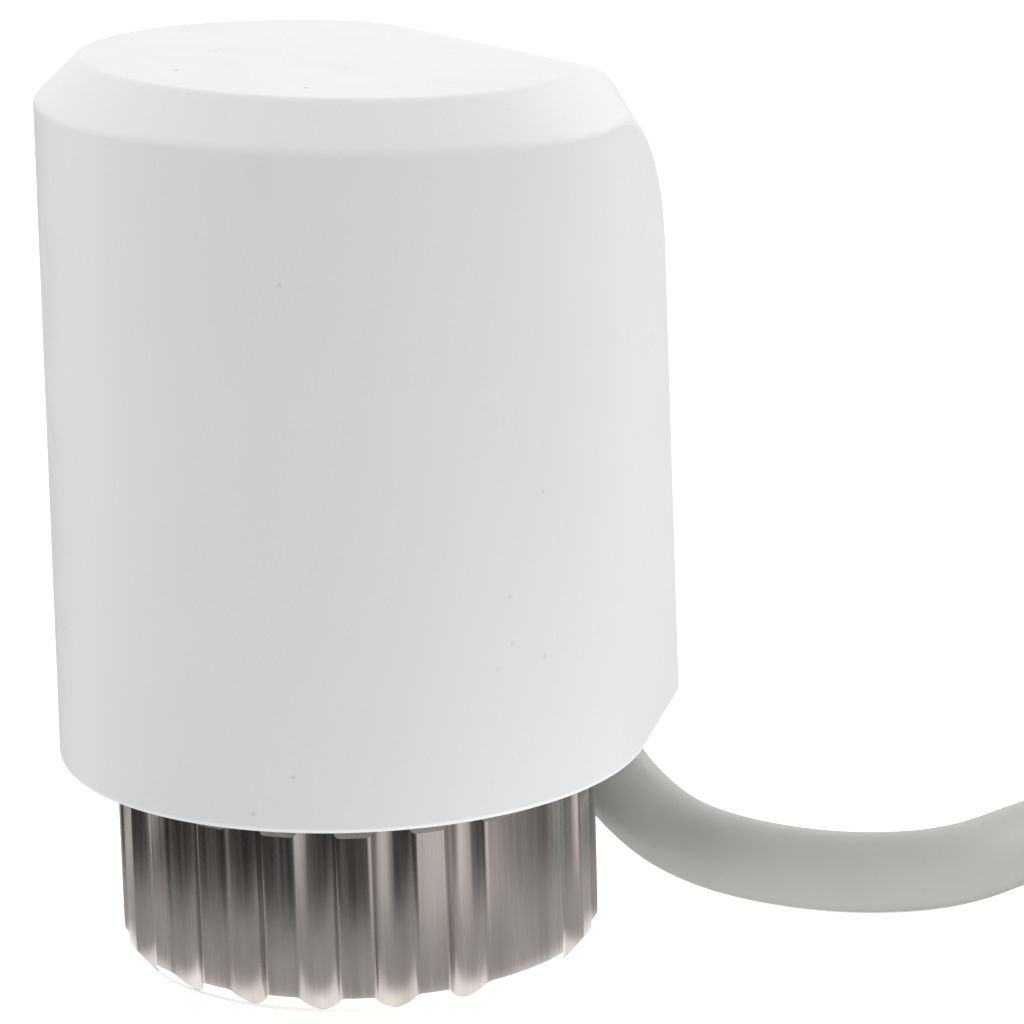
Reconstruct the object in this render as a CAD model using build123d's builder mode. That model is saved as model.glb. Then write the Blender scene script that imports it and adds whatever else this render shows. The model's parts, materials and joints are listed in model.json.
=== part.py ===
"""Thermal (wax motor) valve actuator with a union nut and a flying lead.

Frame: the origin is on the valve axis at the mouth of the union nut. +Z runs up the valve axis
into the housing and +Y points to the back, where the lead comes out. Millimetres.
"""

import os
from math import cos, pi, radians, sin, tan

from build123d import *

os.makedirs("parts", exist_ok=True)

STANDING = (Align.CENTER, Align.CENTER, Align.MIN)
HANGING = (Align.CENTER, Align.CENTER, Align.MAX)

# ---------------------------------------------------------------- driving dimensions
# housing: a round front whose walls run on at a tangent to a narrow flat back
front_radius = 21.6
tangent_angle = 51.5  # from +Y to where the round front meets the flat side walls
back_y = 26.8
rim_z = 15.25
top_z = 66.0  # height of the sloping top on the valve axis
top_slope = 3.7  # degrees, falling towards the back
back_round = 16.0
bevel = 3.2
bevel_softening = 1.0
rim_softening = 0.35
draft = 0.55  # degrees
wall = 1.8
latch_angles = (-150, -90, -30, 20, 160)
latch_z = 17.6
latch_width = 4.0
latch_height = 1.4
latch_reach = 0.7
latch_play = 0.4
latch_length = 1.8
latch_set_back = 1.1
point_cut = 1.5  # how far the back corner of the plan stops short of a sharp point
blank_margin = 4.0

# union nut
nut_radius = 17.5
nut_height = 14.0
flute_step = 18.0  # degrees from one flute to the next
flute_phase = 6.7  # angle of the middle of a plain lobe
flute_radius = 1.9
flute_depth = 0.85
flute_softening = 0.5
foot_chamfer_r = 1.13
foot_chamfer_z = 1.47
head_chamfer = 0.5
thread_major = 15.05
thread_minor = 14.19
thread_pitch = 1.5
thread_start = 0.6
thread_top = 8.2
flange_z = 10.2
mouth_depth = 0.45

# base
plate_z = 16.0
plate_top = 18.6
plate_gap = 0.25
collar_radius = 12.1
collar_z = 8.4
ring_z = 9.3
ring_thick = 0.8
groove_radius = 11.3
ring_radius = 13.4
seal_z = 12.5
seal_height = 2.0
seal_radius = 6.8
push_radius = 5.0
running_gap = 0.05
boss_height = 3.0
boss_radius = 2.5
screw_radius = 1.25
foot_screw_x = 12.9
grommet_radius = 3.5
boss_y = 16.5
boss_x = 7.5

# lead
cord_radius = 3.0
core_radius = 0.9
core_x = 1.3
exit_y = 21.4
exit_z = 15.9
inner_top = 27.5
coil_x = 17.0
coil_y = 106.8
coil_radius = 30.0  # middle of its turns
brown_end_angle = 86
blue_end_angle = 98
coil_outer_turn = 36.0
core_spread = 2.6
ferrule_collar_radius = 1.35
ferrule_collar = 4.0
ferrule_radius = 0.85
ferrule_length = 8.0
tie_angle = 140.0
tie_width = 3.6
tie_thick = 1.2
tie_sunk = 0.6
tie_head = 4.6
tie_head_width = 5.2
tie_corner = 2.0

# inner mechanism, from the bottom up
push_z = 10.8
yoke_z = 19.5
plate_thick = 2.0
bridge_z = 26.5
electrode_thick = 0.4
heater_thick = 2.5
element_z = 33.2
cup_radius = 7.0
cup_wall = 1.0
wax_top = 39.6
guide_z = 40.6
cup_top = 42.6
guide_top = 45.2
pin_radius = 2.0
seat_z = 46.0
spring_top = 61.5
spring_radius = 9.0
spring_wire = 2.0
spring_pitch = 3.4
leg_x = 15.0
foot_reach = 2.2
foot_thick = 1.6
bend_radius = 0.5  # inside the bends of pressed steel
bridge_tab = 6.0
leg_width = 10.0
bridge_depth = 17.0
yoke_leg_y = 9.0
yoke_leg_width = 6.0
yoke_disc = 8.5
yoke_tab_y = 10.0
yoke_tab_width = 4.0
push_flange = 6.4
push_flange_thick = 0.6
seat_radius = 11.5
guide_neck = 4.5
crimp_lip = 0.8
insulator_radius = 7.5
insulator_thick = 0.8
electrode_radius = 7.0
heater_radius = 6.5
lug_x = 6.0
lug_width = 3.0
lug_y = 14.5
crimp_size = 2.6
crimp_length = 4.0
crimp_grip = 3.0
clamp_y = 13.2
clamp_thick = 3.0
screw_head = 1.4
screw_head_radius = 1.8
screw_socket = 0.9
foot_screw_tip = 16.4
clamp_screw_tip = 17.0


def write(piece, name):
    """Labels a finished piece and writes it as its own STEP file."""
    piece.part.label = name
    export_step(piece.part, f"parts/{name}.step")


def wall_x(radius, y):
    """Half the width of the plan at y, on the flat side walls."""
    return (radius - y * cos(radians(tangent_angle))) / sin(radians(tangent_angle))


def plan_outline(radius, back, height, corner_cut=0.0):
    """The housing's plan as a face at a height: a round front, tangent walls, a flat back."""
    side = radius * sin(radians(tangent_angle)), radius * cos(radians(tangent_angle))
    corner = wall_x(radius, back), back
    with BuildSketch(Plane.XY.offset(height)) as plan:
        with BuildLine():
            ThreePointArc((-side[0], side[1]), (0, -radius), side)
            Polyline(side, corner, (-corner[0], back), (-side[0], side[1]))
        make_face()
        if corner_cut:
            chamfer(vertices().group_by(Axis.Y)[-1], length=corner_cut)
    return plan.sketch


# ---------------------------------------------------------------- housing
def bent_edges(all_faces, all_edges):
    """The edges where two faces meet at a shallow corner, as along both sides of a bevel."""
    found = []
    for edge in all_edges:
        sides = [f.normal_at(edge @ 0.5) for f in all_faces if any(edge.is_same(e) for e in f.edges())]
        if 20 < sides[0].get_angle(sides[1]) < 70:
            found.append(edge)
    return found


def housing_block(inset, floor, bevel_leg, softening=0.0):
    """The housing's outer volume, or its cavity when inset by the wall."""
    radius = front_radius - inset
    back = back_y - inset
    height = top_z - inset / cos(radians(top_slope))
    lean = tan(radians(draft))
    fall = tan(radians(top_slope))
    front = -2 * front_radius
    pointed_plan = plan_outline(radius, radius / cos(radians(tangent_angle)) - point_cut, floor)
    with BuildPart() as block:
        extrude(pointed_plan, amount=top_z + blank_margin - floor, taper=draft)
        with BuildSketch(Plane.YZ):
            with BuildLine():
                Polyline(
                    (front, floor - 1),
                    (front, height - fall * front),
                    (back - lean * (height - rim_z), height - fall * back),
                    (back + lean * (rim_z - floor + 1), floor - 1),
                    close=True,
                )
            make_face()
            fillet(vertices().sort_by(lambda v: v.X + v.Y)[-1], radius=back_round - inset)
        extrude(amount=2 * front_radius, both=True, mode=Mode.INTERSECT)
        # the bevel band runs round the top, down the round and down both back corners
        crown = [
            faces().sort_by(Axis.Z)[-1],
            faces().filter_by(GeomType.CYLINDER).sort_by(Axis.Y)[-1],
            faces().filter_by(GeomType.PLANE).sort_by(Axis.Y)[-1],
        ]
        rim_edges = faces().sort_by(Axis.Z)[0].edges()
        band = [
            edge
            for face in crown
            for edge in face.edges()
            if not any(edge.is_same(e) for e in rim_edges)
            and not any(edge.is_same(e) for other in crown if other is not face for e in other.edges())
        ]
        chamfer(band, length=bevel_leg)
        if softening:
            fillet(bent_edges(faces(), edges()), radius=softening)
            fillet(faces().sort_by(Axis.Z)[0].edges(), radius=rim_softening)
    return block


outer = housing_block(0, rim_z, bevel, bevel_softening)
inner_bevel = bevel - wall * (2 - 2**0.5)
cavity = housing_block(wall, rim_z - 1, inner_bevel)

with BuildPart() as housing_cap:
    add(outer.part)
    add(cavity.part, mode=Mode.SUBTRACT)
    # pockets that the base's latches snap into
    with Locations(*[Location((0, 0, latch_z), (0, 0, a)) for a in latch_angles]):
        with Locations((front_radius - wall, 0, 0)):
            Box(
                2 * latch_reach,
                latch_width + latch_play,
                latch_height + latch_play,
                mode=Mode.SUBTRACT,
            )
write(housing_cap, "housing_cap")

# ---------------------------------------------------------------- base
inner_radius = front_radius - wall - plate_gap
inner_back = back_y - wall - plate_gap
plate_plan = plan_outline(inner_radius, inner_back, plate_z, inner_bevel)

with BuildPart() as base_body:
    extrude(plate_plan, amount=plate_top - plate_z)
    # collar that the union nut turns on
    with Locations((0, 0, collar_z)):
        Cylinder(collar_radius, plate_z - collar_z, align=STANDING)
    # bosses for the clamp screws
    with Locations((-boss_x, boss_y, plate_top), (boss_x, boss_y, plate_top)):
        Cylinder(boss_radius, boss_height, align=STANDING)
    # latches round the edge
    with Locations(*[Location((0, 0, latch_z), (0, 0, a)) for a in latch_angles]):
        with Locations((front_radius - wall + latch_reach / 2 - latch_set_back, 0, 0)):
            Box(latch_length, latch_width, latch_height)
    # guide bore, seal groove, circlip groove
    with Locations((0, 0, collar_z)):
        Cylinder(push_radius + running_gap, plate_top - collar_z, align=STANDING, mode=Mode.SUBTRACT)
    with Locations((0, 0, seal_z)):
        Cylinder(seal_radius, seal_height, align=STANDING, mode=Mode.SUBTRACT)
    with BuildSketch(Plane.XY.offset(ring_z)):
        Circle(collar_radius + 1)
        Circle(groove_radius, mode=Mode.SUBTRACT)
    extrude(amount=ring_thick, mode=Mode.SUBTRACT)
    chamfer(edges().group_by(Axis.Z)[0].sort_by(SortBy.LENGTH)[-1], length=0.3)
    # way out for the lead, and pilot holes
    with Locations((0, exit_y, plate_z)):
        Cylinder(grommet_radius, plate_top - plate_z, align=STANDING, mode=Mode.SUBTRACT)
    pilots = [(-boss_x, boss_y), (boss_x, boss_y), (-foot_screw_x, 0), (foot_screw_x, 0)]
    with Locations(*[(x, y, plate_z) for x, y in pilots]):
        Cylinder(screw_radius, plate_top + boss_height - plate_z, align=STANDING, mode=Mode.SUBTRACT)
write(base_body, "base_body")

with BuildPart() as stem_seal:
    with BuildSketch(Plane.XY.offset(seal_z)):
        Circle(seal_radius)
        Circle(push_radius + running_gap, mode=Mode.SUBTRACT)
    extrude(amount=seal_height)
write(stem_seal, "stem_seal")

with BuildPart() as retaining_ring:
    with BuildSketch(Plane.XY.offset(ring_z)):
        Circle(ring_radius)
        Circle(groove_radius, mode=Mode.SUBTRACT)
        with Locations((0, -groove_radius)):
            Rectangle(5, 6, mode=Mode.SUBTRACT)
    extrude(amount=ring_thick)
write(retaining_ring, "retaining_ring")

# ---------------------------------------------------------------- union nut
with BuildPart() as union_nut:
    with BuildSketch():
        Circle(nut_radius)
        flutes = [
            flute_phase + k * flute_step
            for k in range(int(360 / flute_step))
            if k not in (0, int(180 / flute_step))
        ]
        reach = nut_radius + flute_radius - flute_depth
        with Locations(*[(reach * cos(radians(a)), reach * sin(radians(a))) for a in flutes]):
            Circle(flute_radius, mode=Mode.SUBTRACT)
        fillet(vertices(), radius=flute_softening)
    extrude(amount=nut_height)
    # turned outline: chamfers at both ends
    with BuildSketch(Plane.XZ):
        with BuildLine():
            Polyline(
                (0, 0),
                (nut_radius - foot_chamfer_r, 0),
                (nut_radius, foot_chamfer_z),
                (nut_radius, nut_height - head_chamfer),
                (nut_radius - head_chamfer, nut_height),
                (0, nut_height),
                close=True,
            )
        make_face()
    revolve(mode=Mode.INTERSECT)
    # bore: mouth, thread, relief, flange
    with BuildSketch(Plane.XZ):
        with BuildLine():
            mouth = thread_minor + mouth_depth
            ring_points = []
            crest = thread_pitch / 8
            turns = int((thread_top - thread_start) / thread_pitch)
            for k in range(turns):
                z = thread_start + (k + 0.5) * thread_pitch
                ring_points += [
                    (thread_minor, z - thread_pitch / 2 + crest),
                    (thread_major, z - crest / 2),
                    (thread_major, z + crest / 2),
                    (thread_minor, z + thread_pitch / 2 - crest),
                ]
            Polyline(
                (0, -1),
                (mouth, -1),
                (mouth, 0),
                (thread_minor, mouth_depth),
                *ring_points,
                (thread_minor, thread_top),
                (thread_major + 0.2, thread_top),
                (thread_major + 0.2, flange_z),
                (collar_radius + 0.1, flange_z),
                (collar_radius + 0.1, nut_height + 1),
                (0, nut_height + 1),
                close=True,
            )
        make_face()
    revolve(mode=Mode.SUBTRACT)
write(union_nut, "union_nut")

# ---------------------------------------------------------------- frame inside the housing
leg_outer = leg_x + plate_thick

with BuildPart() as steel_stirrup:
    with BuildSketch(Plane.XZ):
        with BuildLine():
            foot_inner = foot_screw_x - foot_reach
            Polyline(
                (foot_inner, plate_top),
                (leg_outer, plate_top),
                (leg_outer, spring_top + plate_thick),
                (-leg_outer, spring_top + plate_thick),
                (-leg_outer, plate_top),
                (-foot_inner, plate_top),
                (-foot_inner, plate_top + foot_thick),
                (-leg_x, plate_top + foot_thick),
                (-leg_x, spring_top),
                (leg_x, spring_top),
                (leg_x, plate_top + foot_thick),
                (foot_inner, plate_top + foot_thick),
                close=True,
            )
        make_face()
        fillet(vertices().group_by(Axis.Y)[-2], radius=bend_radius)
        fillet(vertices().group_by(Axis.Y)[-1], radius=bend_radius + plate_thick)
    extrude(amount=leg_width / 2, both=True)
    # windows for the bridge plate's ends, and the foot screw holes
    with Locations((0, 0, bridge_z)):
        Box(2 * leg_outer + 2, bridge_tab, plate_thick, align=STANDING, mode=Mode.SUBTRACT)
    with Locations((-foot_screw_x, 0, plate_top), (foot_screw_x, 0, plate_top)):
        Cylinder(screw_radius, foot_thick, align=STANDING, mode=Mode.SUBTRACT)
write(steel_stirrup, "steel_stirrup")


def cap_screws(places, seat, tip):
    """Identical socket-head screws standing on a seat, with their tips at a lower height."""
    with BuildPart() as screws:
        with Locations(*[(x, y, seat) for x, y in places]):
            Cylinder(screw_head_radius, screw_head, align=STANDING)
            Cylinder(screw_radius - running_gap, seat - tip, align=HANGING)
        with BuildSketch(Plane.XY.offset(seat + screw_head)):
            with Locations(*places):
                RegularPolygon(screw_socket, 6)
        extrude(amount=-screw_head / 2, mode=Mode.SUBTRACT)
    return screws


stirrup_screws = cap_screws([(-foot_screw_x, 0), (foot_screw_x, 0)], plate_top + foot_thick, foot_screw_tip)
write(stirrup_screws, "stirrup_screws")

with BuildPart() as bridge_plate:
    with BuildSketch(Plane.XY.offset(bridge_z)):
        Rectangle(2 * leg_x, bridge_depth)
        Rectangle(2 * leg_outer, bridge_tab)
    extrude(amount=plate_thick)
write(bridge_plate, "bridge_plate")

# ---------------------------------------------------------------- heater stack
lower_z = bridge_z + plate_thick + insulator_thick
heater_z = lower_z + electrode_thick
upper_z = heater_z + heater_thick
stack_top = upper_z + electrode_thick


def disc(radius, z, thick):
    """A plain round disc on the valve axis."""
    with BuildPart() as piece:
        with BuildSketch(Plane.XY.offset(z)):
            Circle(radius)
        extrude(amount=thick)
    return piece


def electrode(z, side):
    """A thin contact disc with a terminal lug reaching back on one side."""
    with BuildPart() as piece:
        with BuildSketch(Plane.XY.offset(z)):
            Circle(electrode_radius)
            with Locations((side * lug_x, 0)):
                Rectangle(lug_width, lug_y, align=(Align.CENTER, Align.MIN))
        extrude(amount=electrode_thick)
    return piece


write(disc(insulator_radius, bridge_z + plate_thick, insulator_thick), "insulator_disc")
write(electrode(lower_z, 1), "lower_electrode")
write(disc(heater_radius, heater_z, heater_thick), "ptc_heater")
write(electrode(upper_z, -1), "upper_electrode")
write(disc(insulator_radius, stack_top, element_z - stack_top), "upper_insulator")

with BuildPart() as crimp_terminals:
    for side, z in ((1, heater_z), (-1, stack_top)):
        with Locations((side * lug_x, lug_y, z)):
            Box(crimp_size, crimp_length, crimp_size, align=(Align.CENTER, Align.MAX, Align.MIN))
        with Locations(Location((side * lug_x, lug_y, z + crimp_size / 2), (90, 0, 0))):
            Cylinder(core_radius, crimp_grip, align=STANDING, mode=Mode.SUBTRACT)
write(crimp_terminals, "crimp_terminals")

# ---------------------------------------------------------------- wax element
lip_z = cup_top - crimp_lip

with BuildPart() as element_cup:
    with BuildSketch(Plane.XZ):
        with BuildLine():
            Polyline(
                (0, element_z),
                (cup_radius, element_z),
                (cup_radius, cup_top),
                (cup_radius - 2 * cup_wall, cup_top),
                (cup_radius - 2 * cup_wall, lip_z),
                (cup_radius - cup_wall, lip_z),
                (cup_radius - cup_wall, element_z + cup_wall),
                (0, element_z + cup_wall),
                close=True,
            )
        make_face()
    revolve()
write(element_cup, "element_cup")

inside = cup_radius - cup_wall
write(disc(inside, element_z + cup_wall, wax_top - element_z - cup_wall), "wax_charge")
write(disc(inside, wax_top, guide_z - wax_top), "element_diaphragm")

with BuildPart() as element_guide:
    with BuildSketch(Plane.XY.offset(guide_z)):
        Circle(inside)
    extrude(amount=lip_z - guide_z)
    with BuildSketch(Plane.XY.offset(lip_z)):
        Circle(guide_neck)
    extrude(amount=guide_top - lip_z)
    with BuildSketch(Plane.XY.offset(guide_z)):
        Circle(pin_radius + running_gap)
    extrude(amount=guide_top - guide_z, mode=Mode.SUBTRACT)
write(element_guide, "element_guide")

# ---------------------------------------------------------------- plunger
seat_top = seat_z + plate_thick
pin_top = seat_z + plate_thick / 2

write(disc(pin_radius, guide_z + running_gap, pin_top - guide_z - running_gap), "piston_pin")

with BuildPart() as push_piece:
    with BuildSketch(Plane.XY.offset(push_z)):
        Circle(push_radius)
    extrude(amount=yoke_z - push_z)
    chamfer(faces().sort_by(Axis.Z)[0].edges(), length=0.5)
    with BuildSketch(Plane.XY.offset(yoke_z)):
        Circle(push_flange)
    extrude(amount=-push_flange_thick)
write(push_piece, "push_piece")

yoke_outer = yoke_leg_y + plate_thick

with BuildPart() as thrust_yoke:
    with BuildSketch(Plane.XY.offset(yoke_z)):
        Circle(yoke_disc)
        Rectangle(yoke_leg_width, 2 * yoke_outer)
    extrude(amount=plate_thick)
    with BuildSketch(Plane.XY.offset(yoke_z)):
        with Locations((0, -yoke_leg_y), (0, yoke_leg_y)):
            Rectangle(yoke_leg_width, 2 * plate_thick)
        Rectangle(yoke_leg_width, 2 * yoke_leg_y, mode=Mode.SUBTRACT)
    extrude(amount=seat_z - yoke_z)
    # tabs that hold the spring seat
    with BuildSketch(Plane.XY.offset(seat_z)):
        with Locations((0, -yoke_tab_y), (0, yoke_tab_y)):
            Rectangle(yoke_tab_width, plate_thick)
    extrude(amount=plate_thick)
write(thrust_yoke, "thrust_yoke")

with BuildPart() as spring_seat:
    with BuildSketch(Plane.XY.offset(seat_z)):
        Circle(seat_radius)
        with Locations((0, -yoke_tab_y), (0, yoke_tab_y)):
            Rectangle(yoke_tab_width, plate_thick, mode=Mode.SUBTRACT)
    extrude(amount=plate_thick)
    with BuildSketch(Plane.XY.offset(seat_top)):
        Circle(spring_radius - spring_wire / 2 - 0.4)
    extrude(amount=plate_thick)
    with BuildSketch(Plane.XY.offset(seat_z)):
        Circle(pin_radius)
    extrude(amount=pin_top - seat_z, mode=Mode.SUBTRACT)
write(spring_seat, "spring_seat")

with BuildPart() as main_spring:
    with BuildLine() as coils:
        Helix(
            pitch=spring_pitch,
            height=spring_top - seat_top + spring_wire / 2,
            radius=spring_radius,
            center=(0, 0, seat_top - spring_wire / 4),
        )
    with BuildSketch(Plane(coils.line @ 0, z_dir=coils.line % 0)):
        Circle(spring_wire / 2)
    sweep(is_frenet=True)
    with Locations((0, 0, seat_top)):
        Box(
            4 * spring_radius,
            4 * spring_radius,
            spring_top - seat_top,
            align=STANDING,
            mode=Mode.INTERSECT,
        )
write(main_spring, "main_spring")

# ---------------------------------------------------------------- lead inside the housing
with BuildPart() as cable_grommet:
    with BuildSketch(Plane.XY.offset(exit_z)):
        with Locations((0, exit_y)):
            Circle(grommet_radius)
            Circle(cord_radius, mode=Mode.SUBTRACT)
    extrude(amount=plate_top + boss_height - exit_z)
write(cable_grommet, "cable_grommet")

clamp_z = plate_top + boss_height
clamp_plan = plan_outline(inner_radius, inner_back, clamp_z, inner_bevel)

with BuildPart() as cord_clamp:
    extrude(clamp_plan, amount=clamp_thick)
    with Locations((0, clamp_y, clamp_z)):
        Box(
            2 * front_radius,
            front_radius,
            clamp_thick,
            align=(Align.CENTER, Align.MIN, Align.MIN),
            mode=Mode.INTERSECT,
        )
    with BuildSketch(Plane.XY.offset(clamp_z)):
        with Locations((0, exit_y)):
            Circle(cord_radius)
        with Locations((-boss_x, boss_y), (boss_x, boss_y)):
            Circle(screw_radius)
    extrude(amount=clamp_thick, mode=Mode.SUBTRACT)
write(cord_clamp, "cord_clamp")

clamp_screws = cap_screws([(-boss_x, boss_y), (boss_x, boss_y)], clamp_z + clamp_thick, clamp_screw_tip)
write(clamp_screws, "clamp_screws")

with BuildPart() as cable_inner:
    with BuildSketch(Plane.XY.offset(exit_z)):
        with Locations((0, exit_y)):
            Circle(cord_radius)
    extrude(amount=inner_top - exit_z)
write(cable_inner, "cable_inner")


def tube(points, radii, radius):
    """A round tube along straight runs joined by tangent arcs."""
    with BuildPart() as piece:
        with BuildLine() as route:
            FilletPolyline(*points, radius=radii)
        with BuildSketch(Plane(route.line @ 0, z_dir=route.line % 0)):
            Circle(radius)
        sweep()
    length = sum(edge.length for edge in route.line.edges())
    ratio = piece.part.volume / (pi * radius**2 * length)
    print("length", round(length, 2), "radii", [round(r, 1) for r in radii], "volume ratio", round(ratio, 4))
    return piece


def arc_radii(points):
    """The largest even arc at each corner: 0.45 of the shorter run over tan(half the turn)."""
    corners = [Vector(*p) for p in points]
    radii = []
    for before, here, after in zip(corners, corners[1:], corners[2:]):
        turn = radians((here - before).get_angle(after - here))
        radii.append(0.45 * min((here - before).length, (after - here).length) / tan(turn / 2))
    return radii


for side, z, name in ((1, heater_z, "brown"), (-1, stack_top, "blue")):
    lane = z + crimp_size / 2
    points = [
        (side * core_x, exit_y, inner_top),
        (side * core_x, exit_y, lane),
        (side * lug_x, lug_y + 4, lane),
        (side * lug_x, lug_y - crimp_grip, lane),
    ]
    core = tube(points, [2.0, 2.0], core_radius)
    write(core, f"core_{name}_inner")

# ---------------------------------------------------------------- free lead
# down out of the base, in a tight bend to the surface, and away in an easy S to the coil
lead_route = [
    (0.0, exit_y, exit_z),
    (1.1, 21.9, 9.4),
    (4.3, 22.9, 5.9),
    (8.5, 24.3, 3.5),
    (15.3, 26.0, cord_radius),
    (22.0, 29.5, cord_radius),
    (26.1, 35.7, cord_radius),
    (25.3, 44.6, cord_radius),
    (25.6, 54.6, cord_radius),
    (28.6, 63.4, cord_radius),
    (34.0, 71.0, cord_radius),
    (40.3, 77.9, cord_radius),
    (45.75, 85.14, cord_radius),
]
cable_sheath = tube(lead_route, arc_radii(lead_route), cord_radius)
write(cable_sheath, "cable_sheath")


def beside_coil(radius, angle, height):
    """A point by its radius, angle and height about the coil's axis."""
    turned = radians(angle)
    return coil_x + radius * cos(turned), coil_y + radius * sin(turned), height


# one closed ring that holds two layers of two spiral turns
coil_width = 6 * cord_radius
coil_height = 4 * cord_radius
with BuildPart() as cable_coil:
    with BuildSketch(Plane.XZ):
        with Locations((coil_radius, coil_height / 2)):
            RectangleRounded(coil_width, coil_height, radius=cord_radius - 0.1)
    revolve()
cable_coil.part = cable_coil.part.moved(Location((coil_x, coil_y, 0)))
write(cable_coil, "cable_coil")

# the lead's end climbs onto the coil and lies along its top
on_coil = coil_height + cord_radius
tail_route = [
    beside_coil(coil_outer_turn, -37, 3 * cord_radius),
    beside_coil(35.6, -23, 10.4),
    beside_coil(33.6, -8, 13.2),
    beside_coil(31.6, 9, on_coil),
    beside_coil(30.7, 27, on_coil),
    beside_coil(30.3, 46, on_coil),
    beside_coil(coil_radius, 64, on_coil),
]
cable_tail = tube(tail_route, arc_radii(tail_route), cord_radius)
write(cable_tail, "cable_tail")

tail_end = Vector(*tail_route[-1])
ahead = (tail_end - Vector(*tail_route[-2])).normalized()
aside = Vector(-ahead.Y, ahead.X, 0)


def from_tail(forward, sideways, height):
    """A point measured from the end of the lead's sheath."""
    place = tail_end + ahead * forward + aside * sideways
    return place.X, place.Y, height


ferrule_height = coil_height + ferrule_collar_radius + 0.1
ferrule_places = []
for side, name in ((1, "brown"), (-1, "blue")):
    points = [
        from_tail(0, side * core_x, on_coil),
        from_tail(5, side * core_x, on_coil - 0.3),
        beside_coil(coil_radius - side * core_spread * 0.7, brown_end_angle, ferrule_height),
        beside_coil(coil_radius - side * core_spread, blue_end_angle, ferrule_height),
    ]
    core = tube(points, arc_radii(points), core_radius)
    write(core, f"core_{name}_end")
    tip = Vector(*points[-1])
    ferrule_places.append(Plane(tip, z_dir=(tip - Vector(*points[-2])).normalized()))

with BuildPart() as wire_ferrules:
    for place in ferrule_places:
        with BuildSketch(place):
            Circle(ferrule_collar_radius)
        extrude(amount=ferrule_collar)
        with BuildSketch(place.offset(ferrule_collar)):
            Circle(ferrule_radius)
        extrude(amount=ferrule_length)
write(wire_ferrules, "wire_ferrules")

with BuildPart() as cable_tie:
    loop_width = coil_width + 2 * tie_thick
    loop_height = coil_height + tie_thick
    with BuildSketch(Plane.XZ):
        with Locations((coil_radius, 0)):
            Rectangle(loop_width, loop_height, align=(Align.CENTER, Align.MIN))
        fillet(vertices().group_by(Axis.Y)[-1], radius=tie_corner)
        # the strap under the coil is pressed into the turns that rest on it
        with Locations((coil_radius, (coil_height + tie_sunk) / 2)):
            Rectangle(coil_width, coil_height - tie_sunk, mode=Mode.SUBTRACT)
    extrude(amount=tie_width / 2, both=True)
    # locking head
    with Locations((coil_radius + coil_width / 2, 0, 0.6 * coil_height)):
        Box(tie_head, tie_head_width, tie_head, align=(Align.MIN, Align.CENTER, Align.CENTER))
cable_tie.part = cable_tie.part.moved(Location((coil_x, coil_y, 0), (0, 0, tie_angle)))
write(cable_tie, "cable_tie")
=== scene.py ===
"""Looks for the thermal valve actuator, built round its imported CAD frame. Metres, the CAD's own axes."""

import json
from math import cos, pi, radians, sin, tau

import bpy
from mathutils import Matrix, Vector


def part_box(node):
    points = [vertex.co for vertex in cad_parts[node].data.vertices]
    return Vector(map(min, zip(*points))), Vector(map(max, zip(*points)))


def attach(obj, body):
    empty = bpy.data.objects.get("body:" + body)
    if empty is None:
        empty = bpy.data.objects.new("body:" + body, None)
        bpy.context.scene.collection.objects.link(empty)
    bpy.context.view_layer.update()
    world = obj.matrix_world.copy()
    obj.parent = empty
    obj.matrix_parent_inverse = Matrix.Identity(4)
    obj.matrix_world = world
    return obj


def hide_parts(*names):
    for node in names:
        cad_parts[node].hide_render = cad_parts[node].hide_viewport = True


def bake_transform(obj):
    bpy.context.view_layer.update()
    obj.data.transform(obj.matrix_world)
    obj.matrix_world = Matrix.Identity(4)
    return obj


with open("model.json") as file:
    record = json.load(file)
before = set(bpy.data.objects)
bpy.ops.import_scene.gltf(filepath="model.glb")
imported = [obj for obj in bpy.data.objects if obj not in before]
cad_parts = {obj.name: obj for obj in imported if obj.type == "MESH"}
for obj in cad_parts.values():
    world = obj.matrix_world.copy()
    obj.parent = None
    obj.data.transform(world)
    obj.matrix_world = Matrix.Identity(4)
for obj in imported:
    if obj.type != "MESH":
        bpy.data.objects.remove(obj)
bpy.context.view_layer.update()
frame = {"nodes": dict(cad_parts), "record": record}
nodes = frame["nodes"]

# ---------------------------------------------------------------- sizes shared with the CAD
CORD_RADIUS = 0.003
COIL_CENTRE = Vector((0.0170, 0.1068, 0))
COIL_OUTER_TURN = 0.036
COIL_TURNS_PER_LAYER = 2
COIL_START = -37  # degrees


def show(thing):
    """Adds an object to the scene and returns it."""
    bpy.context.scene.collection.objects.link(thing)
    return thing


# ---------------------------------------------------------------- camera
CAMERA_AZIMUTH = radians(53.0)
CAMERA_ELEVATION = radians(15.55)
CAMERA_ROLL = radians(-1.6)
CAMERA_DISTANCE = 0.4
CAMERA_LENS = 194.15
CAMERA_PIVOT = Vector((0, 0, 0.035))
CAMERA_AIM = Vector((0.00782, 0.00908, 0.0322))


def make_camera():
    """To the front right of the object, looking a little down on it, and very slightly rolled."""
    azimuth, elevation = CAMERA_AZIMUTH, CAMERA_ELEVATION
    back = Vector((sin(azimuth) * cos(elevation), -cos(azimuth) * cos(elevation), sin(elevation)))
    place = CAMERA_PIVOT + CAMERA_DISTANCE * back
    data = bpy.data.cameras.new("camera")
    data.lens = CAMERA_LENS
    data.clip_start = 0.01
    camera = show(bpy.data.objects.new("camera", data))
    level = (CAMERA_AIM - place).to_track_quat("-Z", "Y").to_matrix()
    turn = level @ Matrix.Rotation(CAMERA_ROLL, 3, "Z")
    camera.matrix_world = Matrix.Translation(place) @ turn.to_4x4()
    bpy.context.scene.camera = camera


make_camera()


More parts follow.
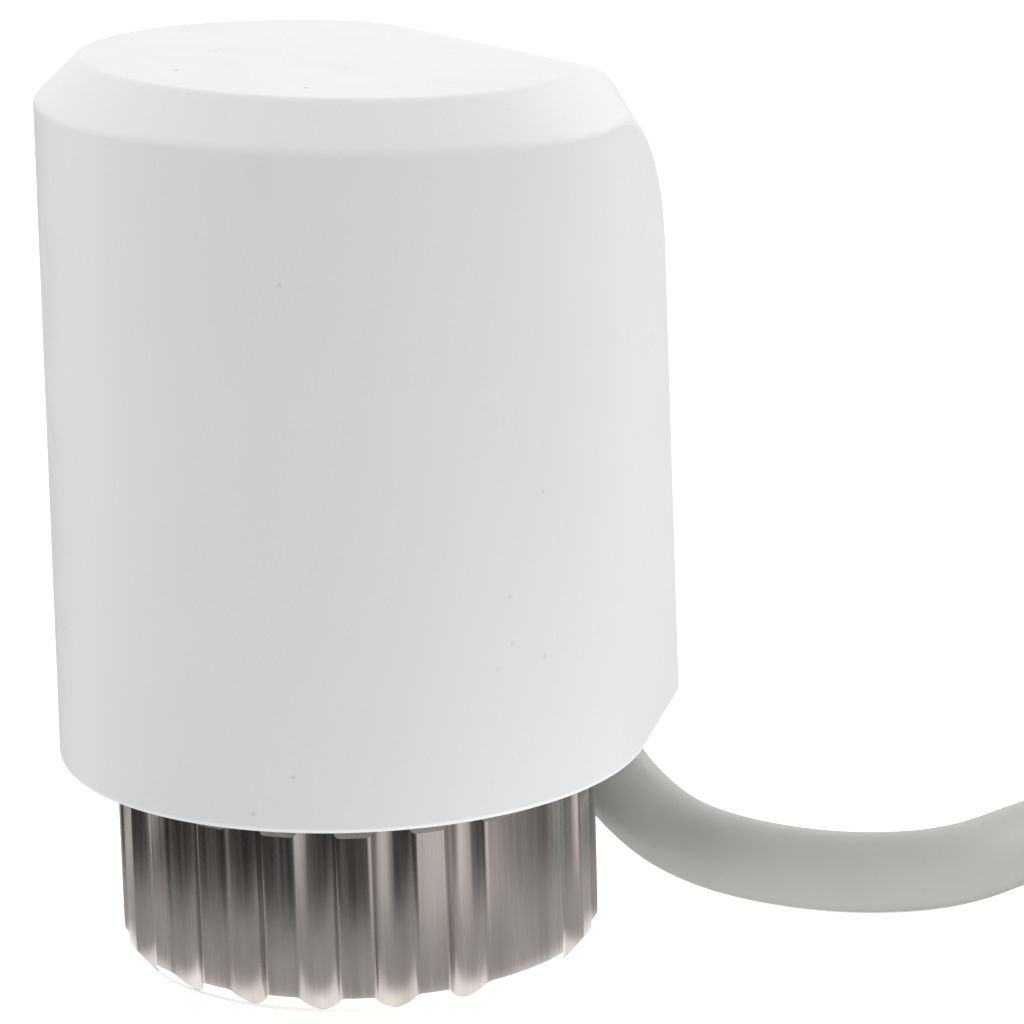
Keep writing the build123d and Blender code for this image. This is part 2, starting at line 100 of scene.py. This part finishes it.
# ---------------------------------------------------------------- lead
def beside_coil(radius, angle, height):
    """A point by its radius, angle in degrees and height about the coil's axis."""
    chamfer_finish_and_reflection = radians(angle)
    return COIL_CENTRE + Vector((radius * cos(chamfer_finish_and_reflection), radius * sin(chamfer_finish_and_reflection), height))


def coil_points():
    """Two flat spirals, one on the other: inwards on the floor, up, and outwards on top."""
    steps, climb_steps = 16, 3
    outside = 1 / cos(pi / steps)  # control points stand outside the turn that they make
    pitch = 2 * CORD_RADIUS
    layer = COIL_TURNS_PER_LAYER * steps
    inner = COIL_OUTER_TURN - COIL_TURNS_PER_LAYER * pitch
    points = []
    for k in range(1, 2 * layer):
        inwards = COIL_OUTER_TURN - pitch * k / steps
        outwards = inner + pitch * (k - layer) / steps
        climb = min(max((k - layer) / climb_steps, 0), 1)
        radius = inwards if k <= layer else outwards
        angle = COIL_START + 360 * k / steps
        points.append(beside_coil(radius * outside, angle, CORD_RADIUS + pitch * climb))
    return points


LEAD_ROUTE = [
    (0.0, 0.0214, 0.0159),
    (0.0011, 0.0219, 0.0094),
    (0.0043, 0.0229, 0.0059),
    (0.0085, 0.0243, 0.0035),
    (0.0153, 0.0260, 0.003),
    (0.0220, 0.0295, 0.003),
    (0.0261, 0.0357, 0.003),
    (0.0253, 0.0446, 0.003),
    (0.0256, 0.0546, 0.003),
    (0.0286, 0.0634, 0.003),
    (0.0340, 0.0710, 0.003),
    (0.0403, 0.0779, 0.003),
    (0.04575, 0.08514, 0.003),
]
TAIL_ROUTE = [
    beside_coil(COIL_OUTER_TURN, COIL_START, 0.009),
    beside_coil(0.0356, -23, 0.0104),
    beside_coil(0.0336, -8, 0.0132),
    beside_coil(0.0316, 9, 0.015),
    beside_coil(0.0307, 27, 0.015),
    beside_coil(0.0303, 46, 0.015),
    beside_coil(0.0300, 64, 0.015),
]


def make_lead():
    """The whole sheath as one smooth line: out of the base, along the floor, round the coil and on
    to its tail, which lies on top."""
    points = [Vector(p) for p in LEAD_ROUTE] + coil_points() + TAIL_ROUTE
    data = bpy.data.curves.new("lead", "CURVE")
    data.dimensions = "3D"
    data.resolution_u = 10
    data.bevel_depth = CORD_RADIUS
    data.bevel_resolution = 10
    data.use_fill_caps = True
    spline = data.splines.new("NURBS")
    spline.points.add(len(points) - 1)
    for point, place in zip(spline.points, points):
        point.co = (*place, 1)
    spline.order_u = 3
    spline.use_endpoint_u = True
    return show(bpy.data.objects.new("lead", data))


lead = make_lead()
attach(lead, "housing")
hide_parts("cable_sheath", "cable_coil", "cable_tail")


# ---------------------------------------------------------------- materials
class Finish:
    """One material: a Principled shader, and short calls that add and join its nodes."""

    def __init__(self, name, metallic=0.0, ior=1.5):
        self.material = bpy.data.materials.new(name)
        self.material.use_nodes = True
        self.tree = self.material.node_tree
        self.shader = self.tree.nodes["Principled BSDF"]
        self.shader.inputs["Metallic"].default_value = metallic
        self.shader.inputs["IOR"].default_value = ior
        self.place = self.add("ShaderNodeTexCoord").outputs["Object"]
        self.bumps = None

    def add(self, kind, **settings):
        node = self.tree.nodes.new(kind)
        for name, value in settings.items():
            setattr(node, name, value)
        return node

    def put(self, node, **inputs):
        """Sets a node's inputs by name, from a number or from another node's output."""
        for name, value in inputs.items():
            socket = node.inputs[name.replace("_", " ")]
            if isinstance(value, bpy.types.NodeSocket):
                self.tree.links.new(value, socket)
            else:
                socket.default_value = value
        return node

    def stretched(self, stretch):
        """The object's coordinates, stretched by a factor along each axis."""
        mapping = self.add("ShaderNodeMapping")
        mapping.inputs["Scale"].default_value = stretch
        self.tree.links.new(self.place, mapping.inputs["Vector"])
        return mapping.outputs["Vector"]

    def noise(self, scale, detail=2.0, stretch=(1, 1, 1), distortion=0.0):
        node = self.add("ShaderNodeTexNoise")
        self.put(node, Vector=self.stretched(stretch), Scale=scale, Detail=detail, Distortion=distortion)
        return node.outputs["Fac"]

    def cells(self, scale, stretch=(1, 1, 1), feature="F1"):
        """Distance to scattered points, and a random colour for each."""
        node = self.add("ShaderNodeTexVoronoi", feature=feature)
        self.put(node, Vector=self.stretched(stretch), Scale=scale)
        return node.outputs

    def span(self, value, low, high, start=0.0, end=1.0):
        """Maps low..high to start..end, clamped."""
        node = self.add("ShaderNodeMapRange")
        self.put(node, Value=value, From_Min=low, From_Max=high, To_Min=start, To_Max=end)
        return node.outputs["Result"]

    def both(self, first, second, operation="MULTIPLY"):
        node = self.add("ShaderNodeMath", operation=operation)
        for socket, value in zip(node.inputs, (first, second)):
            if isinstance(value, bpy.types.NodeSocket):
                self.tree.links.new(value, socket)
            else:
                socket.default_value = value
        return node.outputs[0]

    def mix(self, share, first, second):
        node = self.add("ShaderNodeMix", data_type="RGBA")
        for index, value in ((0, share), (6, first), (7, second)):
            if isinstance(value, bpy.types.NodeSocket):
                self.tree.links.new(value, node.inputs[index])
            elif index:
                node.inputs[index].default_value = (*value, 1)
            else:
                node.inputs[index].default_value = value
        return node.outputs[2]

    def bump(self, height, distance, strength=1.0):
        """Adds relief: height 0..1 stands for distance metres. Later calls add to earlier ones."""
        node = self.add("ShaderNodeBump")
        self.put(node, Height=height, Distance=distance, Strength=strength)
        if self.bumps:
            self.tree.links.new(self.bumps, node.inputs["Normal"])
        self.bumps = node.outputs["Normal"]

    def done(self, colour, roughness):
        """Joins the colour, the roughness and the relief to the shader."""
        self.put(self.shader, Base_Color=colour, Roughness=roughness)
        if self.bumps:
            self.tree.links.new(self.bumps, self.shader.inputs["Normal"])
        return self.material


def specks(finish, scale, size, share, stretch=(1, 1, 1)):
    """A mask of small scattered marks: size is a share of their spacing, share how many cells have one."""
    found = finish.cells(scale, stretch)
    split = finish.add("ShaderNodeSeparateColor")
    finish.tree.links.new(found["Color"], split.inputs["Color"])
    spot = finish.span(found["Distance"], size, size * 0.4)
    chosen = finish.span(split.outputs["Red"], 1 - share, 1 - share + 0.02)
    return finish.both(spot, chosen)


def white_plastic():
    """Satin white moulding: an even fine grain, a few specks of dirt and faint rubbed smudges."""
    f = Finish("white_plastic", ior=1.46)
    colour = f.mix(f.span(f.noise(30, 3), 0.35, 0.65), (0.800, 0.800, 0.806), (0.784, 0.784, 0.790))
    smudge = f.span(f.noise(150, 4, (1, 1, 0.45)), 0.66, 0.82, 0, 0.35)
    colour = f.mix(smudge, colour, (0.64, 0.64, 0.64))
    colour = f.mix(specks(f, 190, 0.055, 0.22), colour, (0.50, 0.49, 0.48))
    colour = f.mix(f.both(specks(f, 420, 0.10, 0.10), 0.5), colour, (0.60, 0.60, 0.60))
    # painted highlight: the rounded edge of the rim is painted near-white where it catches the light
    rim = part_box("housing_cap")[0].z
    height = f.add("ShaderNodeSeparateXYZ")
    f.tree.links.new(f.place, height.inputs[0])
    highlight_top, highlight_full = rim + 0.00043, rim + 0.00025
    rim_highlight = f.span(height.outputs["Z"], highlight_top, highlight_full)
    colour = f.mix(rim_highlight, colour, (0.97, 0.97, 0.97))
    roughness = f.span(f.noise(260, 3), 0.3, 0.7, 0.40, 0.50)
    f.bump(f.noise(5200, 2), 0.000010)
    f.bump(f.noise(420, 2), 0.000012)
    return f.done(colour, roughness)


def nickel():
    """Nickel on a drawn section: fine lines along the axis, chatter marks, small dents, a darker film."""
    f = Finish("nickel", metallic=1.0)
    lines = f.noise(2600, 3, (1, 1, 0.012))
    broad = f.noise(700, 3, (1, 1, 0.03))
    film = f.noise(160, 4, (1, 1, 0.6))
    colour = f.mix(f.span(broad, 0.35, 0.65), (0.47, 0.448, 0.43), (0.58, 0.556, 0.54))
    colour = f.mix(f.span(film, 0.52, 0.72, 0, 0.5), colour, (0.38, 0.35, 0.33))
    marks = specks(f, 330, 0.16, 0.12, (1, 1, 0.7))
    colour = f.mix(marks, colour, (0.20, 0.18, 0.17))
    roughness = f.both(f.span(lines, 0.3, 0.7, 0.14, 0.27), f.span(film, 0.3, 0.7, 0.0, 0.06), "ADD")
    # the turned chamfer at the mouth is duller than the drawn sides; its near-white colour is partly its
    # turned finish and partly a painted reflection of the bright floor, put on faces that point downward
    split = f.add("ShaderNodeSeparateXYZ")
    f.tree.links.new(f.add("ShaderNodeNewGeometry").outputs["True Normal"], split.inputs[0])
    chamfer_finish_and_reflection = f.span(split.outputs["Z"], -0.3, -0.5)
    colour = f.mix(chamfer_finish_and_reflection, colour, (0.98, 0.94, 0.92))
    roughness = f.both(roughness, f.both(chamfer_finish_and_reflection, 0.25), "ADD")
    f.bump(lines, 0.000012)
    f.bump(broad, 0.000030)
    f.bump(marks, -0.00006)
    return f.done(colour, roughness)


def soft_pvc(name, light, dark, roughness=0.44):
    """Smooth extruded PVC: slow waves along it, a fine skin, a little dust."""
    f = Finish(name, ior=1.52)
    colour = f.mix(f.span(f.noise(90, 3), 0.35, 0.65), light, dark)
    dust = f.span(f.noise(1400, 3), 0.64, 0.80, 0, 0.25)
    colour = f.mix(dust, colour, tuple(0.8 * c for c in dark))
    gloss = f.span(f.noise(500, 3), 0.3, 0.7, roughness - 0.05, roughness + 0.06)
    f.bump(f.noise(260, 2), 0.00003)
    f.bump(f.noise(3200, 2), 0.000012)
    return f.done(colour, gloss)


def moulded(name, light, dark, roughness):
    """Plain matt moulded or pressed stuff: mottled colour and a fine even grain."""
    f = Finish(name)
    colour = f.mix(f.span(f.noise(220, 4), 0.35, 0.65), light, dark)
    gloss = f.span(f.noise(900, 3), 0.3, 0.7, roughness - 0.06, roughness + 0.06)
    f.bump(f.noise(2400, 3), 0.00002)
    return f.done(colour, gloss)


def metal(name, light, dark, roughness, stretch=(1, 1, 1)):
    """Bare or plated metal: streaks of rolling or turning along one way, and a slight film."""
    f = Finish(name, metallic=1.0)
    streaks = f.noise(1500, 3, stretch)
    colour = f.mix(f.span(f.noise(200, 4), 0.35, 0.65), light, dark)
    gloss = f.span(streaks, 0.3, 0.7, roughness - 0.07, roughness + 0.09)
    f.bump(streaks, 0.00001)
    return f.done(colour, gloss)


ALONG_Z = (1, 1, 0.03)
ALONG_Y = (1, 0.03, 1)
ROUND_Z = (0.2, 0.2, 1)
finishes = {
    "white_plastic": white_plastic(),
    "nickel": nickel(),
    "cable_pvc": soft_pvc("cable_pvc", (0.455, 0.456, 0.434), (0.430, 0.432, 0.412)),
    "core_brown": soft_pvc("core_brown", (0.20, 0.09, 0.045), (0.15, 0.065, 0.03)),
    "core_blue": soft_pvc("core_blue", (0.045, 0.15, 0.42), (0.03, 0.11, 0.34)),
    "tie_nylon": moulded("tie_nylon", (0.80, 0.79, 0.74), (0.74, 0.73, 0.67), 0.38),
    "base_plastic": moulded("base_plastic", (0.70, 0.70, 0.69), (0.64, 0.64, 0.63), 0.5),
    "seal_rubber": moulded("seal_rubber", (0.040, 0.040, 0.042), (0.025, 0.025, 0.027), 0.6),
    "ceramic": moulded("ceramic", (0.86, 0.84, 0.78), (0.80, 0.78, 0.71), 0.45),
    "heater_ceramic": moulded("heater_ceramic", (0.25, 0.24, 0.24), (0.19, 0.18, 0.18), 0.55),
    "wax": moulded("wax", (0.85, 0.80, 0.62), (0.78, 0.72, 0.54), 0.4),
    "spring_steel": metal("spring_steel", (0.43, 0.43, 0.44), (0.35, 0.35, 0.36), 0.32, ROUND_Z),
    "zinc_steel": metal("zinc_steel", (0.64, 0.65, 0.67), (0.55, 0.56, 0.58), 0.36, ALONG_Z),
    "screw_steel": metal("screw_steel", (0.60, 0.60, 0.62), (0.50, 0.50, 0.52), 0.3, ROUND_Z),
    "contact_steel": metal("contact_steel", (0.72, 0.71, 0.68), (0.63, 0.62, 0.59), 0.26, ALONG_Y),
    "brass": metal("brass", (0.74, 0.57, 0.29), (0.64, 0.48, 0.22), 0.27, ROUND_Z),
    "tinned_copper": metal("tinned_copper", (0.78, 0.77, 0.74), (0.68, 0.67, 0.64), 0.24, ALONG_Y),
    "pin_steel": metal("pin_steel", (0.72, 0.72, 0.73), (0.64, 0.64, 0.65), 0.18, ROUND_Z),
}


def wear(piece, slot):
    """Gives a piece the finish of a slot, and nothing else."""
    piece.data.materials.clear()
    piece.data.materials.append(finishes[slot])


for part in frame["record"]["subparts"]:
    wear(nodes[part["node"]], part["material_slot"])
wear(lead, "cable_pvc")


def make_spring():
    """The closing spring: a copy of the CAD part, baked in place. On the real actuator its foot rises with
    the plunger and its top stays.
    """
    spring = show(bpy.data.objects.new("closing_spring", nodes["main_spring"].data.copy()))
    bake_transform(spring)
    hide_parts("main_spring")


make_spring()


# ---------------------------------------------------------------- studio
FLOOR_GLOW = 0.15
CAMERA_FLOOR_GLOW = 0.75
PATCH_GLOW = 0.8
FLOOR_GREY = 0.5
CAMERA_FLOOR_GREY = 0.55
FLOOR_SIDE = 3.0  # half the floor's width
PATCH_SHIFT = Vector((0.014, -0.027, 0))  # from the middle of the lead towards the camera
RING_HEIGHT = 0.0004
CHAMFER_LIGHT = 3.0
NEAR_FLOOR = (0.50, 0.48, 0.465)
WORLD_LIGHT = 0.87


def panel(name, place, aim, width, height, watts):
    """A soft rectangular light that faces a point."""
    data = bpy.data.lights.new(name, "AREA")
    data.shape = "RECTANGLE"
    data.size = width
    data.size_y = height
    data.energy = watts
    light = show(bpy.data.objects.new(name, data))
    facing = (Vector(aim) - Vector(place)).to_track_quat("-Z", "Y")
    light.matrix_world = Matrix.Translation(place) @ facing.to_matrix().to_4x4()


def blank_material(name):
    """A material with an empty node tree, and the tree."""
    material = bpy.data.materials.new(name)
    material.use_nodes = True
    material.node_tree.nodes.clear()
    return material, material.node_tree


def ramp_down(tree, value, near, far, high, low, smooth=True):
    """The output of a node that falls from high at near to low at far."""
    node = tree.nodes.new("ShaderNodeMapRange")
    if smooth:
        node.interpolation_type = "SMOOTHSTEP"
    for name, number in (("From Min", near), ("From Max", far), ("To Min", high), ("To Max", low)):
        node.inputs[name].default_value = number
    tree.links.new(value, node.inputs["Value"])
    return node.outputs["Result"]


def glow(tree, colour, strength):
    """An emission shader's output."""
    node = tree.nodes.new("ShaderNodeEmission")
    node.inputs["Color"].default_value = (*colour, 1)
    if isinstance(strength, bpy.types.NodeSocket):
        tree.links.new(strength, node.inputs["Strength"])
    else:
        node.inputs["Strength"].default_value = strength
    return node.outputs[0]


def make_floor():
    """A large pale floor, lit by the lights and a little bright of itself. The camera sees it brighter
    than the object does, so that it is a clean white with faint shadows."""
    side = FLOOR_SIDE
    mesh = bpy.data.meshes.new("floor")
    corners = [(-side, -side, 0), (side, -side, 0), (side, side, 0), (-side, side, 0)]
    mesh.from_pydata(corners, [], [(0, 1, 2, 3)])
    floor = show(bpy.data.objects.new("floor", mesh))
    material, tree = blank_material("pale_floor")
    path = tree.nodes.new("ShaderNodeLightPath")
    seen = tree.nodes.new("ShaderNodeMixShader")
    end = tree.nodes.new("ShaderNodeOutputMaterial")
    tree.links.new(path.outputs["Is Camera Ray"], seen.inputs[0])
    # a paler patch beside the lead throws some light up, as a reflector card would
    low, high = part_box("cable_sheath")
    middle = (low + high) / 2 + PATCH_SHIFT
    place = tree.nodes.new("ShaderNodeTexCoord")
    distance = tree.nodes.new("ShaderNodeVectorMath")
    distance.operation = "DISTANCE"
    distance.inputs[1].default_value = (middle.x, middle.y, 0)
    tree.links.new(place.outputs["Object"], distance.inputs[0])
    patch = ramp_down(tree, distance.outputs["Value"], 0.02, 0.08, PATCH_GLOW, FLOOR_GLOW)
    looks = ((FLOOR_GREY, patch), (CAMERA_FLOOR_GREY, CAMERA_FLOOR_GLOW))
    for index, (grey, strength) in enumerate(looks):
        diffuse = tree.nodes.new("ShaderNodeBsdfDiffuse")
        diffuse.inputs["Color"].default_value = (grey, grey, grey, 1)
        both = tree.nodes.new("ShaderNodeAddShader")
        tree.links.new(diffuse.outputs[0], both.inputs[0])
        tree.links.new(glow(tree, (1, 1, 1), strength), both.inputs[1])
        tree.links.new(both.outputs[0], seen.inputs[index + 1])
    tree.links.new(seen.outputs[0], end.inputs[0])
    mesh.materials.append(material)


def make_reflected_ring():
    """What the metal mirrors: a grey floor at its foot and beyond it a dark studio with paler sides.
    It shows only in reflections."""
    nut_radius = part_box("union_nut")[1].x
    inner, outer, steps = nut_radius - 0.0008, 0.9, 96
    mesh = bpy.data.meshes.new("reflected_ring")
    corners, faces = [], []
    count = 2 * steps
    for k in range(steps):
        angle = tau * k / steps
        for radius in (inner, outer):
            corners.append((radius * cos(angle), radius * sin(angle), RING_HEIGHT))
        faces.append((2 * k, 2 * k + 1, (2 * k + 3) % count, (2 * k + 2) % count))
    mesh.from_pydata(corners, [], faces)
    ring = show(bpy.data.objects.new("reflected_ring", mesh))
    material, tree = blank_material("dark_studio")
    place = tree.nodes.new("ShaderNodeTexCoord")
    turn = tree.nodes.new("ShaderNodeTexGradient")
    turn.gradient_type = "RADIAL"
    ramp = tree.nodes.new("ShaderNodeValToRGB")
    ramp.color_ramp.interpolation = "EASE"
    # brightness round the ring, from -X through -Y, +X and +Y
    stops = [(0.0, 0.06), (0.10, 0.85), (0.15, 0.05), (0.30, 0.03), (0.41, 0.05), (0.47, 0.75)]
    stops += [(0.52, 1.00), (0.58, 0.28), (0.70, 0.04), (0.80, 0.70), (0.87, 0.08), (1.0, 0.06)]
    elements = ramp.color_ramp.elements
    elements[0].position, elements[1].position = 0.0, 1.0
    for position, level in stops[1:-1]:
        elements.new(position)
    for element, (position, level) in zip(elements, stops):
        element.position = position
        element.color = (level, 0.94 * level, 0.90 * level, 1)
    distance = tree.nodes.new("ShaderNodeVectorMath")
    distance.operation = "LENGTH"
    reach = distance.outputs["Value"]
    near = ramp_down(tree, reach, 0.030, 0.042, 1, 0)
    mix = tree.nodes.new("ShaderNodeMix")
    mix.data_type = "RGBA"
    mix.inputs[7].default_value = (*NEAR_FLOOR, 1)
    emission = tree.nodes.new("ShaderNodeEmission")
    # brightest right under the nut's chamfer
    start, finish = nut_radius + 0.001, nut_radius + 0.0035
    foot = ramp_down(tree, reach, start, finish, CHAMFER_LIGHT, 1, smooth=False)
    end = tree.nodes.new("ShaderNodeOutputMaterial")
    tree.links.new(foot, emission.inputs["Strength"])
    tree.links.new(place.outputs["Object"], turn.inputs["Vector"])
    tree.links.new(place.outputs["Object"], distance.inputs[0])
    tree.links.new(turn.outputs["Color"], ramp.inputs["Fac"])
    tree.links.new(near, mix.inputs[0])
    tree.links.new(ramp.outputs["Color"], mix.inputs[6])
    tree.links.new(mix.outputs[2], emission.inputs["Color"])
    tree.links.new(emission.outputs[0], end.inputs[0])
    mesh.materials.append(material)
    for ray in ("camera", "diffuse", "shadow", "transmission", "volume_scatter"):
        setattr(ring, "visible_" + ray, False)


def make_world():
    """White for the camera, and a softer grey as light."""
    world = bpy.data.worlds.new("studio")
    bpy.context.scene.world = world
    world.use_nodes = True
    tree = world.node_tree
    tree.nodes.clear()
    path = tree.nodes.new("ShaderNodeLightPath")
    mix = tree.nodes.new("ShaderNodeMixShader")
    end = tree.nodes.new("ShaderNodeOutputWorld")
    for index, (colour, strength) in enumerate((((1, 1, 1), WORLD_LIGHT), ((1, 1, 1), 1.0))):
        background = tree.nodes.new("ShaderNodeBackground")
        background.inputs["Color"].default_value = (*colour, 1)
        background.inputs["Strength"].default_value = strength
        tree.links.new(background.outputs[0], mix.inputs[index + 1])
    tree.links.new(path.outputs["Is Camera Ray"], mix.inputs[0])
    tree.links.new(mix.outputs[0], end.inputs[0])


make_floor()
make_reflected_ring()
make_world()
panel("overhead", (0.02, 0.03, 0.55), (0, 0, 0.05), 0.55, 0.55, 0.05)
panel("behind", (-0.42, 0.32, 0.25), (0, 0, 0.05), 0.60, 0.50, 0.36)
panel("right_side", (0.085, 0.48, 0.20), (0, 0, 0.04), 0.40, 0.40, 0.84)
panel("left_side", (-0.42, -0.27, 0.20), (0, 0, 0.04), 0.40, 0.40, 0.60)
bpy.context.scene.view_settings.view_transform = "Standard"
